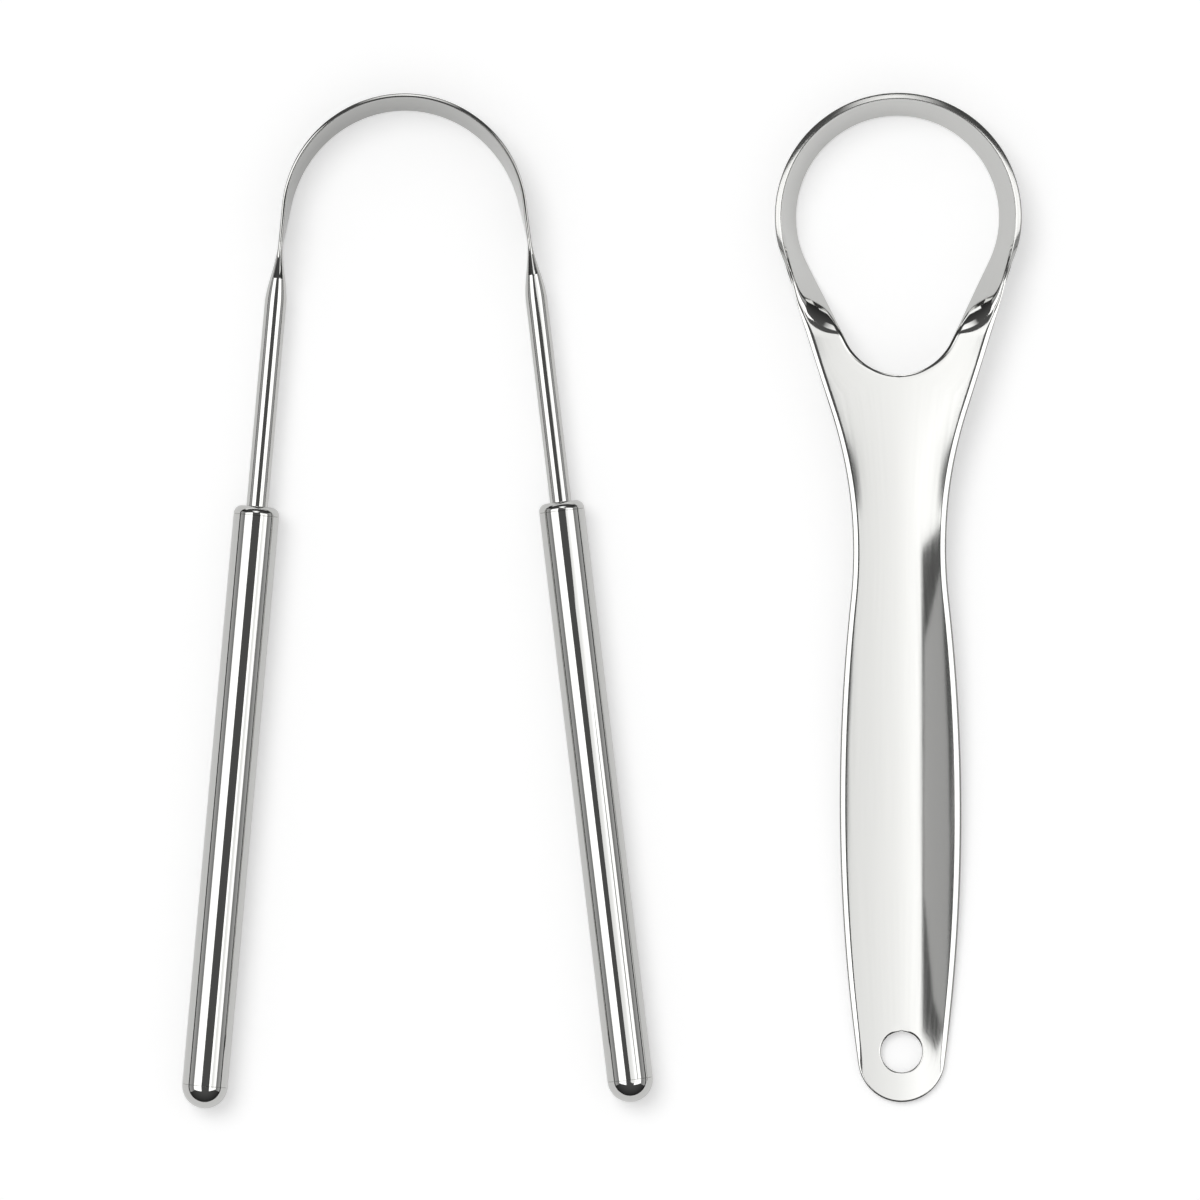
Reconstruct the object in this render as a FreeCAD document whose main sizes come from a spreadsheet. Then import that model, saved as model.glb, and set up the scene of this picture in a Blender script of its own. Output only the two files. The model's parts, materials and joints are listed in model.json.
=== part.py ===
"""A set of two stainless steel tongue scrapers, lying on a table, in millimetres.

The sprung scraper is a rod flattened in its middle into a raked band and bent into a bow. Each end of
the rod is pressed into a collar, which closes the mouth of a polished handle tube, and a domed plug
closes the tube's foot. The loop scraper is one pressed sheet: a crowned handle with a hanging hole,
which opens through a fork into a ring whose wall is dished down round its eye.

+Z is up, +Y points from the handles to the bow and the ring, and the origin is the centre of the
set's footprint, on the table.
"""
import FreeCAD
import Part

import math
import os

import Sketcher

# Driving dimensions: millimetres and degrees
SIZES = {
    # The sprung scraper's band and arms
    "bow_radius": 17.66,
    "band_thickness": 0.6,
    "band_width": 6.6,
    "band_rake": 1.8,
    "arm_splay": 6.0,
    "rake_fade": 2.5,
    "band_run": 5.3,
    "forged_length": 9.0,
    "rod_diameter": 3.15,
    "rod_reach": 29.0,
    # The sprung scraper's handles
    "handle_diameter": 6.6,
    "handle_length": 86.8,
    "tube_wall": 0.8,
    "collar_flange": 1.3,
    "collar_spigot": 8.0,
    "mouth_round": 1.2,
    "plug_spigot": 4.0,
    "fit_clearance": 0.02,
    # The loop scraper's sheet and outline
    "sheet_thickness": 0.85,
    "ring_radius": 17.72,
    "ring_height": 6.6,
    "wall_lean": 18.9,
    "wall_bend": 1.5,
    "waist_half_width": 6.75,
    "waist_distance": 47.8,
    "waist_radius": 65.4,
    "belly_radius": 270.6,
    "belly_distance": 85.0,
    "end_distance": 120.95,
    "crown_radius": 60.0,
    "crown_start": 20.0,
    "crown_full": 42.0,
    "handle_fall": 5.3,
    "eye_radius": 14.57,
    "crotch_radius": 8.2,
    "crotch_distance": 14.63,
    "hole_diameter": 5.76,
    "hole_distance": 119.95,
    # How the two scrapers lie beside each other
    "set_spacing": 70.8,
    "bow_turn": 0.85,
    "loop_turn": 0.27,
}

BAND_STATIONS = 17
ROUND_SPLIT = 60.0

X = FreeCAD.Vector(1, 0, 0)
Y = FreeCAD.Vector(0, 1, 0)
Z = FreeCAD.Vector(0, 0, 1)

doc = FreeCAD.newDocument("tongue_scraper_set")
sheet = doc.addObject("Spreadsheet::Sheet", "Sizes")
for row, (alias, value) in enumerate(SIZES.items(), start=1):
    sheet.set(f"A{row}", alias)
    sheet.set(f"B{row}", str(value))
    sheet.setAlias(f"B{row}", alias)
doc.recompute()


def size(alias):
    """The plain number that the sheet holds under this alias."""
    return float(sheet.get(alias))


# Helpers for bodies and sketches

def new_body(label):
    body = doc.addObject("PartDesign::Body", label)
    body.Label = label
    return body


def new_sketch(body, name, role="XY_Plane", height=None):
    """A sketch on one of the body's own origin planes, raised by an expression where one is given."""
    plane = next(f for f in body.Origin.OriginFeatures if f.Role == role)
    sketch = body.newObject("Sketcher::SketchObject", f"{body.Label}_{name}")
    sketch.AttachmentSupport = [(plane, "")]
    sketch.MapMode = "FlatFace"
    if height:
        sketch.setExpression("AttachmentOffset.Base.z", height)
    return sketch


def free_sketch(name, rotation, height=None):
    """A sketch that belongs to no body, raised by an expression where one is given."""
    sketch = doc.addObject("Sketcher::SketchObject", name)
    sketch.Placement = FreeCAD.Placement(FreeCAD.Vector(0, 0, 0), rotation)
    if height:
        sketch.setExpression("Placement.Base.z", height)
    return sketch


def tie(sketch, kind, first, second, expression):
    """Sets one distance, radius or diameter of a sketch from an expression of the sheet."""
    value = sketch.evalExpression(expression)
    if kind in ("Radius", "Diameter"):
        index = sketch.addConstraint(Sketcher.Constraint(kind, first, value))
    else:
        index = sketch.addConstraint(Sketcher.Constraint(kind, -1, 1, first, second, value))
    sketch.setExpression(f"Constraints[{index}]", expression)


def tie_point(sketch, geometry, point, across, along):
    """Places a sketch point by two expressions, or on an axis where one of them is nought."""
    for kind, axis, expression in (("DistanceX", -2, across), ("DistanceY", -1, along)):
        if expression == "0":
            sketch.addConstraint(Sketcher.Constraint("PointOnObject", geometry, point, axis))
        else:
            tie(sketch, kind, geometry, point, expression)


def circle(sketch, diameter, along="0"):
    """A circle on the sketch's upright axis."""
    radius = sketch.evalExpression(diameter) / 2
    centre = FreeCAD.Vector(0, 0 if along == "0" else sketch.evalExpression(along), 0)
    index = sketch.addGeometry(Part.Circle(centre, Z, radius), False)
    tie_point(sketch, index, 3, "0", along)
    tie(sketch, "Diameter", index, None, diameter)


def arc(centre, radius, start, end):
    """An arc of a circle in a sketch, counter-clockwise between two angles in radians."""
    return Part.ArcOfCircle(Part.Circle(centre, Z, radius), start, end)


def pad(body, sketch, length, name):
    feature = body.newObject("PartDesign::Pad", f"{body.Label}_{name}")
    feature.Profile = sketch
    feature.setExpression("Length", length)
    doc.recompute()
    return feature


# The sprung scraper: its band and forged rods

def rounded_strip(centre, width_way, thin_way, width, thickness):
    """A strip's section: two straight sides joined by half-round edges, as a closed wire of 4 edges."""
    half_flat = width_way * ((width - thickness) / 2)
    half_thin = thin_way * (thickness / 2)
    edge_round = width_way * (thickness / 2)
    a = centre + half_thin - half_flat
    b = centre + half_thin + half_flat
    c = centre - half_thin + half_flat
    d = centre - half_thin - half_flat
    return Part.Wire([
        Part.LineSegment(a, b).toShape(),
        Part.Arc(b, centre + half_flat + edge_round, c).toShape(),
        Part.LineSegment(c, d).toShape(),
        Part.Arc(d, centre - half_flat - edge_round, a).toShape(),
    ])


def round_bar(centre, width_way, thin_way, diameter):
    """A circle as 4 arcs that pair with the edges of a rounded strip."""
    def at(angle):
        turn = math.radians(angle)
        return centre + (thin_way * math.cos(turn) + width_way * math.sin(turn)) * (diameter / 2)

    corners = [-ROUND_SPLIT, ROUND_SPLIT, 180 - ROUND_SPLIT, 180 + ROUND_SPLIT]
    middles = [0, 90, 180, 270]
    ends = corners[1:] + [corners[0] + 360]
    edges = [Part.Arc(at(s), at(m), at(e)).toShape() for s, m, e in zip(corners, middles, ends)]
    return Part.Wire(edges)


def path_radius():
    """Radius of the bow at the middle of the band's upper edge."""
    return size("bow_radius") - size("band_thickness") / 2


def band_section(distance):
    """The band's section at a signed distance along its upper edge from the top of the bow.

    The path is an arc that ends where its tangent has the arms' splay, and then runs straight. The
    lower edge is raked inwards, most at the top of the bow and not at all where the rods begin: the
    rake is lost by a power of the share of the way there.
    """
    arc_angle = math.radians(90 - size("arm_splay"))
    arc_length = path_radius() * arc_angle
    half_length = arc_length + size("band_run")
    side = math.copysign(1.0, distance)
    turn = min(abs(distance), arc_length) / path_radius()
    straight = max(0.0, abs(distance) - arc_length)
    outward = FreeCAD.Vector(side * math.sin(turn), math.cos(turn), 0)
    onward = FreeCAD.Vector(side * math.cos(turn), -math.sin(turn), 0)
    upper = outward * path_radius() + onward * straight
    rake = size("band_rake") * (1 - min(1.0, abs(distance) / half_length) ** size("rake_fade"))
    rise = size("band_width")
    lean = math.atan2(rake, rise)
    width_way = outward * math.sin(lean) + Z * math.cos(lean)
    thin_way = outward * math.cos(lean) - Z * math.sin(lean)
    centre = upper - outward * (rake / 2) + Z * (rise / 2)
    # The slant length keeps the leaning section's height at the band's width
    slant = (rise - size("band_thickness")) / math.cos(lean) + size("band_thickness")
    return rounded_strip(centre, width_way, thin_way, slant, size("band_thickness"))


def make_blade_band():
    """The scraping bow: a raked strip lofted through sections along its path."""
    half_length = path_radius() * math.radians(90 - size("arm_splay")) + size("band_run")
    step = 2 * half_length / (BAND_STATIONS - 1)
    sections = [band_section(step * k - half_length) for k in range(BAND_STATIONS)]
    band = doc.addObject("Part::Feature", "blade_band")
    band.Label = "blade_band"
    band.Shape = Part.makeLoft(sections, True, False)
    return band


def mouth_at():
    """Distance along an arm from the end of the bow's arc to the mouth of its handle."""
    return size("band_run") + size("forged_length") + size("rod_reach")


def make_rod(label):
    """A round rod whose end is forged flat to the band's section.

    Its axis is local +Z, to the foot, and it ends level with the end of the collar that holds it.
    """
    band_end = Z * size("band_run")
    forged_end = band_end + Z * size("forged_length")
    flat = rounded_strip(band_end, Y, X, size("band_width"), size("band_thickness"))
    bar = round_bar(forged_end, Y, X, size("rod_diameter"))
    forged = doc.addObject("Part::Feature", f"{label}_forged")
    forged.Shape = Part.makeLoft([flat, bar], True, False)
    shank = doc.addObject("Part::Cylinder", f"{label}_shank")
    shank.setExpression("Radius", "Sizes.rod_diameter / 2")
    shank.setExpression("Height", "Sizes.rod_reach + Sizes.collar_flange + Sizes.collar_spigot")
    shank.setExpression("Placement.Base.z", "Sizes.band_run + Sizes.forged_length")
    rod = doc.addObject("Part::Fuse", label)
    rod.Label = label
    rod.Base = forged
    rod.Tool = shank
    rod.Refine = True
    return rod


# The sprung scraper: its handles, each along local +Z with the mouth at nought

def make_handle_tube(label):
    body = new_body(label)
    sketch = new_sketch(body, "ring", height="Sizes.collar_flange")
    circle(sketch, "Sizes.handle_diameter")
    circle(sketch, "Sizes.handle_diameter - 2 * Sizes.tube_wall")
    length = "Sizes.handle_length - Sizes.collar_flange - Sizes.handle_diameter / 2"
    pad(body, sketch, length, "wall")
    return body


def make_collar(label):
    """The mouth piece: a flange with a rounded edge and a spigot in the tube, bored for the rod."""
    body = new_body(label)
    spigot_diameter = "Sizes.handle_diameter - 2 * Sizes.tube_wall - 2 * Sizes.fit_clearance"
    bore_diameter = "Sizes.rod_diameter + 2 * Sizes.fit_clearance"
    flange = new_sketch(body, "flange")
    circle(flange, "Sizes.handle_diameter")
    circle(flange, bore_diameter)
    pad(body, flange, "Sizes.collar_flange", "mouth")
    spigot = new_sketch(body, "spigot", height="Sizes.collar_flange")
    circle(spigot, spigot_diameter)
    circle(spigot, bore_diameter)
    last = pad(body, spigot, "Sizes.collar_spigot", "stem")
    rim = [
        f"Edge{n}" for n, edge in enumerate(last.Shape.Edges, start=1)
        if abs(edge.BoundBox.ZMax) < 1e-6 and edge.BoundBox.XMax > size("handle_diameter") / 2 - 1e-3
    ]
    round_edge = body.newObject("PartDesign::Fillet", f"{label}_edge")
    round_edge.Base = (last, rim)
    round_edge.setExpression("Radius", "Sizes.mouth_round")
    return body


def make_end_plug(label):
    """The foot piece: a half-ball with a short spigot, turned about the handle's axis."""
    body = new_body(label)
    seat = "(Sizes.handle_length - Sizes.handle_diameter / 2)"
    radius = "Sizes.handle_diameter / 2"
    spigot_radius = f"({radius} - Sizes.tube_wall - Sizes.fit_clearance)"
    spigot_top = f"{seat} - Sizes.plug_spigot"
    foot = "Sizes.handle_length"
    sketch = new_sketch(body, "section", role="XZ_Plane")
    corners = [
        ("0", spigot_top),
        (spigot_radius, spigot_top),
        (spigot_radius, seat),
        (radius, seat),
        ("0", foot),
    ]

    def place(corner):
        across, along = (0 if e == "0" else sketch.evalExpression(e) for e in corner)
        return FreeCAD.Vector(across, along, 0)

    points = [place(corner) for corner in corners]
    for first, second in ((0, 1), (1, 2), (2, 3), (4, 0)):
        sketch.addGeometry(Part.LineSegment(points[first], points[second]), False)
    dome_centre = place(("0", seat))
    dome = sketch.addGeometry(arc(dome_centre, size("handle_diameter") / 2, 0, math.pi / 2), False)
    sides = [0, 1, 2, dome, 3]
    for index, (side, following) in enumerate(zip(sides, sides[1:] + sides[:1])):
        sketch.addConstraint(Sketcher.Constraint("Coincident", side, 2, following, 1))
        tie_point(sketch, side, 1, *corners[index])
    sketch.addConstraint(Sketcher.Constraint("PointOnObject", dome, 3, -2))
    turned = body.newObject("PartDesign::Revolution", f"{label}_turned")
    turned.Profile = sketch
    turned.ReferenceAxis = (sketch, ["V_Axis"])
    turned.Angle = 360
    return body


# The loop scraper: a sheet dished down round its eye, cut to its outline and opened at the eye

def loop_outline_points():
    """Centres and touching points of the sheet's outline, on its right side.

    The ring and the waist are joined by their inner common tangent. The belly touches the waist from
    the other side, and the end touches the belly from inside.
    """
    ring = size("ring_radius")
    waist_r = size("waist_radius")
    belly_r = size("belly_radius")
    waist = FreeCAD.Vector(size("waist_half_width") + waist_r, -size("waist_distance"), 0)
    lean = math.acos((ring + waist_r) / waist.Length)
    heading = math.atan2(waist.y, waist.x) + lean
    to_line = FreeCAD.Vector(math.cos(heading), math.sin(heading), 0)
    drop = size("belly_distance") - size("waist_distance")
    across = math.sqrt((waist_r + belly_r) ** 2 - drop ** 2)
    belly = FreeCAD.Vector(waist.x - across, -size("belly_distance"), 0)
    end = FreeCAD.Vector(0, -size("end_distance"), 0)
    end_r = belly_r - (end - belly).Length
    return {
        "waist": waist,
        "belly": belly,
        "end": end,
        "ring_touch": to_line * ring,
        "waist_touch": waist - to_line * waist_r,
        "inflection": belly + (waist - belly).normalize() * belly_r,
        "end_touch": end + (end - belly).normalize() * end_r,
    }


def angle_of(point, centre):
    return math.atan2(point.y - centre.y, point.x - centre.x)


def mirrored(point):
    return FreeCAD.Vector(-point.x, point.y, 0)


def draw_outline(sketch):
    """The sheet's closed outline: ring, two fork lines, two waists, two bellies and the end."""
    at = loop_outline_points()
    origin = FreeCAD.Vector(0, 0, 0)

    def arc_between(centre, start, end):
        first = angle_of(start, centre)
        last = angle_of(end, centre)
        radius = (start - centre).Length
        return arc(centre, radius, first, last if last > first else last + 2 * math.pi)

    left = {name: mirrored(point) for name, point in at.items()}
    ring = sketch.addGeometry(arc_between(origin, at["ring_touch"], left["ring_touch"]), False)
    fork_left = sketch.addGeometry(Part.LineSegment(left["ring_touch"], left["waist_touch"]), False)
    waist_left = sketch.addGeometry(
        arc_between(left["waist"], left["inflection"], left["waist_touch"]), False)
    belly_left = sketch.addGeometry(
        arc_between(left["belly"], left["inflection"], left["end_touch"]), False)
    end = sketch.addGeometry(arc_between(at["end"], left["end_touch"], at["end_touch"]), False)
    belly_right = sketch.addGeometry(
        arc_between(at["belly"], at["end_touch"], at["inflection"]), False)
    waist_right = sketch.addGeometry(
        arc_between(at["waist"], at["waist_touch"], at["inflection"]), False)
    fork_right = sketch.addGeometry(Part.LineSegment(at["waist_touch"], at["ring_touch"]), False)
    joins = [
        (ring, 2, fork_left, 1),
        (fork_left, 2, waist_left, 2),
        (waist_left, 1, belly_left, 1),
        (belly_left, 2, end, 1),
        (end, 2, belly_right, 1),
        (belly_right, 2, waist_right, 2),
        (waist_right, 1, fork_right, 1),
        (fork_right, 2, ring, 1),
    ]
    for join in joins:
        sketch.addConstraint(Sketcher.Constraint("Tangent", *join))
    sketch.addConstraint(Sketcher.Constraint("Coincident", ring, 3, -1, 1))
    tie(sketch, "Radius", ring, None, "Sizes.ring_radius")
    for waist, belly, sign in ((waist_right, belly_right, ""), (waist_left, belly_left, "-")):
        across = f"{sign}(Sizes.waist_half_width + Sizes.waist_radius)"
        tie_point(sketch, waist, 3, across, "-Sizes.waist_distance")
        tie(sketch, "Radius", waist, None, "Sizes.waist_radius")
        tie(sketch, "Radius", belly, None, "Sizes.belly_radius")
        tie(sketch, "DistanceY", belly, 3, "-Sizes.belly_distance")
    tie(sketch, "DistanceY", end, 3, "-Sizes.end_distance")


def draw_eye(sketch):
    """The eye: the ring's inner circle and the crotch arc, joined by their outer common tangents."""
    ring_r = size("eye_radius")
    crotch_r = size("crotch_radius")
    crotch = FreeCAD.Vector(0, -size("crotch_distance"), 0)
    lean = math.asin((ring_r - crotch_r) / size("crotch_distance"))
    right = FreeCAD.Vector(math.cos(lean), -math.sin(lean), 0)
    left = mirrored(right)
    ring = sketch.addGeometry(
        arc(FreeCAD.Vector(0, 0, 0), ring_r, -lean, math.pi + lean), False)
    side_left = sketch.addGeometry(
        Part.LineSegment(left * ring_r, crotch + left * crotch_r), False)
    bottom = sketch.addGeometry(arc(crotch, crotch_r, math.pi + lean, 2 * math.pi - lean), False)
    side_right = sketch.addGeometry(
        Part.LineSegment(crotch + right * crotch_r, right * ring_r), False)
    sides = [ring, side_left, bottom, side_right]
    for side, following in zip(sides, sides[1:] + sides[:1]):
        sketch.addConstraint(Sketcher.Constraint("Tangent", side, 2, following, 1))
    sketch.addConstraint(Sketcher.Constraint("Coincident", ring, 3, -1, 1))
    tie(sketch, "Radius", ring, None, "Sizes.eye_radius")
    tie_point(sketch, bottom, 3, "0", "-Sizes.crotch_distance")
    tie(sketch, "Radius", bottom, None, "Sizes.crotch_radius")


def under_sheet(name, depth):
    """All that lies below the sheet's top face, lowered by a depth.

    The face is level round the ring, and along the handle it is crowned and falls towards the end.
    Straight lines join the level part to the crowned part.
    """
    half = size("ring_radius") + size("ring_height") / 2 + depth
    bottom = -2 * size("ring_height") - depth
    radius = size("crown_radius") - depth
    crown = radius - math.sqrt(radius ** 2 - half ** 2)
    slope = size("handle_fall") / (size("hole_distance") - size("crown_start"))
    far = size("end_distance") + size("waist_distance") + depth
    stations = [
        (-size("ring_radius") - size("ring_height") - depth, 0.0),
        (size("crown_start"), 0.0),
        (size("crown_full"), crown),
        (far, crown),
    ]
    sections = []
    for distance, sag in stations:
        top = size("ring_height") - depth - slope * max(0.0, distance - size("crown_start"))
        left = FreeCAD.Vector(-half, -distance, top - sag)
        right = FreeCAD.Vector(half, -distance, top - sag)
        low_right = FreeCAD.Vector(half, -distance, bottom)
        low_left = FreeCAD.Vector(-half, -distance, bottom)
        if sag:
            face = Part.Arc(left, FreeCAD.Vector(0, -distance, top), right).toShape()
        else:
            face = Part.LineSegment(left, right).toShape()
        sides = [(right, low_right), (low_right, low_left), (low_left, left)]
        edges = [face] + [Part.LineSegment(start, end).toShape() for start, end in sides]
        sections.append(Part.Wire(edges))
    space = doc.addObject("Part::Feature", name)
    space.Shape = Part.makeLoft(sections, True, True)
    return space


def dished_block(name, layers):
    """What lies below the sheet's top (no layers) or under face (one layer), hollowed by the ring's cone.

    A bend rounds the edge between the two, and is drawn round the same centre for both faces.
    """
    depth = layers * size("sheet_thickness")
    bend = size("wall_bend") - depth
    cone = doc.addObject("Part::Cone", f"{name}_cone")
    rate = "Sizes.ring_height * tan(Sizes.wall_lean)"
    widening = f"{layers} * Sizes.sheet_thickness / cos(Sizes.wall_lean)"
    cone.setExpression("Radius1", f"Sizes.eye_radius - {rate} + {widening}")
    cone.setExpression("Radius2", f"Sizes.eye_radius + 2 * {rate} + {widening}")
    cone.setExpression("Height", "3 * Sizes.ring_height")
    cone.setExpression("Placement.Base.z", "-Sizes.ring_height")
    block = doc.addObject("Part::Cut", f"{name}_block")
    block.Base = under_sheet(f"{name}_space", depth)
    block.Tool = cone
    doc.recompute()
    level = size("ring_height") - depth
    bent = doc.addObject("Part::Fillet", f"{name}_bent")
    bent.Base = block
    bent.Edges = [
        (n, bend, bend) for n, edge in enumerate(block.Shape.Edges, start=1)
        if isinstance(edge.Curve, Part.Circle) and abs(edge.BoundBox.Center.z - level) < 1e-6
        and edge.BoundBox.ZLength < 1e-6
    ]
    doc.recompute()
    return bent


def through_cut(name, base, sketch):
    """Cuts a sketch's profile right through, both ways from its plane."""
    tool = doc.addObject("Part::Extrusion", f"{name}_tool")
    tool.Base = sketch
    tool.DirMode = "Normal"
    tool.Solid = True
    tool.Symmetric = True
    tool.setExpression("LengthFwd", "4 * (Sizes.ring_radius + Sizes.ring_height)")
    cut = doc.addObject("Part::Cut", name)
    cut.Base = base
    cut.Tool = tool
    doc.recompute()
    return cut


def make_loop_scraper():
    """One pressed sheet: dished at the ring, cut to its outline, its eye opened and its hole pierced."""
    dish = doc.addObject("Part::Cut", "loop_dish")
    dish.Base = dished_block("loop_top", 0)
    dish.Tool = dished_block("loop_under", 1)
    outline = free_sketch("loop_outline", FreeCAD.Rotation())
    draw_outline(outline)
    prism = doc.addObject("Part::Extrusion", "loop_prism")
    prism.Base = outline
    prism.DirMode = "Normal"
    prism.Solid = True
    prism.setExpression("LengthFwd", "2 * Sizes.ring_height")
    blank = doc.addObject("Part::Common", "loop_blank")
    blank.Base = dish
    blank.Tool = prism
    doc.recompute()
    eye = free_sketch("loop_eye", FreeCAD.Rotation())
    draw_eye(eye)
    hole = free_sketch("loop_hole", FreeCAD.Rotation())
    circle(hole, "Sizes.hole_diameter", "-Sizes.hole_distance")
    opened = through_cut("loop_opened", blank, eye)
    pierced = through_cut("loop_scraper", opened, hole)
    pierced.Label = "loop_scraper"
    return pierced


# Build the pieces and lay them out

def arm_placement(side):
    """Local +Z along an arm to its foot, local +Y up, from the end of the bow's arc."""
    splay = math.radians(size("arm_splay"))
    along = FreeCAD.Vector(side * math.sin(splay), -math.cos(splay), 0)
    start = FreeCAD.Vector(side * math.cos(splay), math.sin(splay), 0) * path_radius()
    start += Z * (size("band_width") / 2)
    return FreeCAD.Placement(start, FreeCAD.Rotation(Z.cross(along), Z, along, "ZYX"))


def lay_out():
    """Every piece with its place, before the set is centred on the origin."""
    bow = FreeCAD.Placement(FreeCAD.Vector(0, 0, 0), FreeCAD.Rotation(Z, size("bow_turn")))
    loop = FreeCAD.Placement(X * size("set_spacing"), FreeCAD.Rotation(Z, size("loop_turn")))
    pieces = [(make_blade_band(), bow), (make_loop_scraper(), loop)]
    for name, side in (("left", -1), ("right", 1)):
        arm = bow * arm_placement(side)
        handle = arm * FreeCAD.Placement(Z * mouth_at(), FreeCAD.Rotation())
        pieces.append((make_rod(f"{name}_rod"), arm))
        pieces.append((make_collar(f"{name}_collar"), handle))
        pieces.append((make_handle_tube(f"{name}_handle_tube"), handle))
        pieces.append((make_end_plug(f"{name}_end_plug"), handle))
    return pieces


def check(pieces):
    """Stops the build if an object failed or a piece is not one valid solid."""
    for item in doc.Objects:
        if "Invalid" in item.State or "Error" in item.State:
            raise RuntimeError(f"{item.Label} failed: {item.State}")
    for piece, _ in pieces:
        shape = piece.Shape
        if shape.isNull() or not shape.isValid() or len(shape.Solids) != 1:
            raise RuntimeError(f"{piece.Label} is not one valid solid")


pieces = lay_out()
doc.recompute()
check(pieces)
for piece, place in pieces:
    piece.Placement = place
doc.recompute()
box = FreeCAD.BoundBox()
for piece, _ in pieces:
    box.add(piece.Shape.optimalBoundingBox(False))
footprint = FreeCAD.Vector(box.Center.x, box.Center.y, box.ZMin)
centring = FreeCAD.Placement(-footprint, FreeCAD.Rotation())
for piece, place in pieces:
    piece.Placement = centring * place
doc.recompute()
check(pieces)

os.makedirs("parts", exist_ok=True)
for piece, _ in pieces:
    piece.Shape.exportStep(f"parts/{piece.Label}.step")
    extent = piece.Shape.optimalBoundingBox(False)
    print(
        f"{piece.Label}: {piece.Shape.Volume:.2f} mm3,"
        f" x {extent.XMin:.2f} to {extent.XMax:.2f},"
        f" y {extent.YMin:.2f} to {extent.YMax:.2f},"
        f" z {extent.ZMin:.2f} to {extent.ZMax:.2f}"
    )
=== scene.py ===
"""Looks of the tongue scraper set: a sprung bow scraper and a pressed loop scraper, in polished steel."""

import json
import math

import bmesh
import bpy
import numpy as np
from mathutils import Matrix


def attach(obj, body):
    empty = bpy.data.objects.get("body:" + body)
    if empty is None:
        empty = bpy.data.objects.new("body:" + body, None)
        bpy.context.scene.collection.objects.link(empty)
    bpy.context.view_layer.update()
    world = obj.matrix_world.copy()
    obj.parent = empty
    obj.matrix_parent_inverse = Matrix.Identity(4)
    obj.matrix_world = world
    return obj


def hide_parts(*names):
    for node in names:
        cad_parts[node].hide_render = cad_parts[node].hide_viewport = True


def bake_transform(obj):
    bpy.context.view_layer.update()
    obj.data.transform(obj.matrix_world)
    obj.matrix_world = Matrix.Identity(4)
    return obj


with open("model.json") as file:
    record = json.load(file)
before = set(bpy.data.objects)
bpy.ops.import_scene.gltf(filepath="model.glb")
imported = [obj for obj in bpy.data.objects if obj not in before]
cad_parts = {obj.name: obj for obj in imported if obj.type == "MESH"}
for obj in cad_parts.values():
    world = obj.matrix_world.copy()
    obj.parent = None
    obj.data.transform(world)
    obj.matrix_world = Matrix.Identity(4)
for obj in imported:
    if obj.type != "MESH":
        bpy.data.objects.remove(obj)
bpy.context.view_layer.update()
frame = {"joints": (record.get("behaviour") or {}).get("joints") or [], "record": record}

MM = 0.001
WELD = 2e-6
SHARP_ANGLE = math.radians(38)

# Sprung scraper, in millimetres, apart from powers, shares, angles and counts
BAND_THICKNESS = 0.6
BAND_WIDTH = 6.6
BAND_RAKE = 1.8
RAKE_FADE = 2.5
EDGE_FLAT = 0.6
EDGE_ROUND_FROM = 0.8
BOW_RADIUS = 17.66
PATH_RADIUS = BOW_RADIUS - BAND_THICKNESS / 2
ARM_SPLAY = math.radians(6.0)
BAND_RUN = 5.3
FORGED_LENGTH = 9.0
RIDGE_FALL = 5.2
RIDGE_POWER = 1.6
ROD_RADIUS = 1.575
ROD_REACH = 29.0
HANDLE_RADIUS = 3.3
HANDLE_LENGTH = 86.8
TUBE_BORE = 2.5
COLLAR_FLANGE = 1.3
COLLAR_SPIGOT = 8.0
MOUTH_ROUND = 1.2
MOUTH_BREAK = 0.05
SHORT_FLAT = 0.03
PLUG_SPIGOT = 4.0
FIT = 0.02
SEAM = 0.05
PIVOT_SAMPLES = 2001
BAND_STATIONS = 130
BAND_GATHER = 1.5
BAND_STEPS = 64
FORGED_STATIONS = 70
PLAIN_STATIONS = (0.05, 4, 12, 20, 28, 33, 38)
ROD_STEPS = 96
SPIN_STEPS = 128
DOME_STEPS = 40
MID_HEIGHT = BAND_WIDTH / 2
ARC_LENGTH = PATH_RADIUS * (math.pi / 2 - ARM_SPLAY)
HALF_BAND = ARC_LENGTH + BAND_RUN
MOUTH = BAND_RUN + FORGED_LENGTH + ROD_REACH

# Loop scraper, in millimetres, apart from powers, shares, angles, cosines and counts
SHEET = 0.85
RING_RADIUS = 17.72
RING_HEIGHT = 6.6
WAIST_HALF_WIDTH = 6.75
WAIST_DISTANCE = 47.8
WAIST_RADIUS = 65.4
BELLY_RADIUS = 270.6
BELLY_DISTANCE = 85.0
END_DISTANCE = 120.95
CROWN_RADIUS = 60.0
CROWN_START = 20.0
CROWN_FULL = 42.0
HANDLE_FALL = 5.2
FALL_EASE = 10.0
RING_SHEET = 1.05
RIM_WIDTH = 1.02
WALL_FOOT = 0.5
WALL_WIDTH = 2.1
FORK_WALL_WIDTH = 3.5
WALL_WIDENS = (2.0, 15.0)
WALL_BEND = 0.1
WALL_BEND_GROWTH = 0.25
WALL_BEND_GROWS = (9.0, 15.0)
TWIST_START = 7.0
TWIST_END = 17.2
RING_GIVES_WAY = (0.0, 14.0)
EDGE_ROLL = 0.95
EDGE_ROLL_RADIUS = 1.75
END_STRETCH = (114.0, 125.0)
END_ROLL_LOSS = 0.96
HOLE_ROLL = 0.45
HOLE_ROLL_RADIUS = 2.2
HOLE_TOP = (0.8, 0.97)
EYE_ROLL = 0.7
EYE_ROLL_RADIUS = 0.8
EYE_ROLL_GROWS = (11.0, 16.0)
EYE_ROLL_FADES = (17.0, 22.0)
EYE_ROLL_LOSS = 0.8
EYE_RADIUS = 14.57
CROTCH_RADIUS = 8.2
CROTCH_DISTANCE = 14.63
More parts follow.
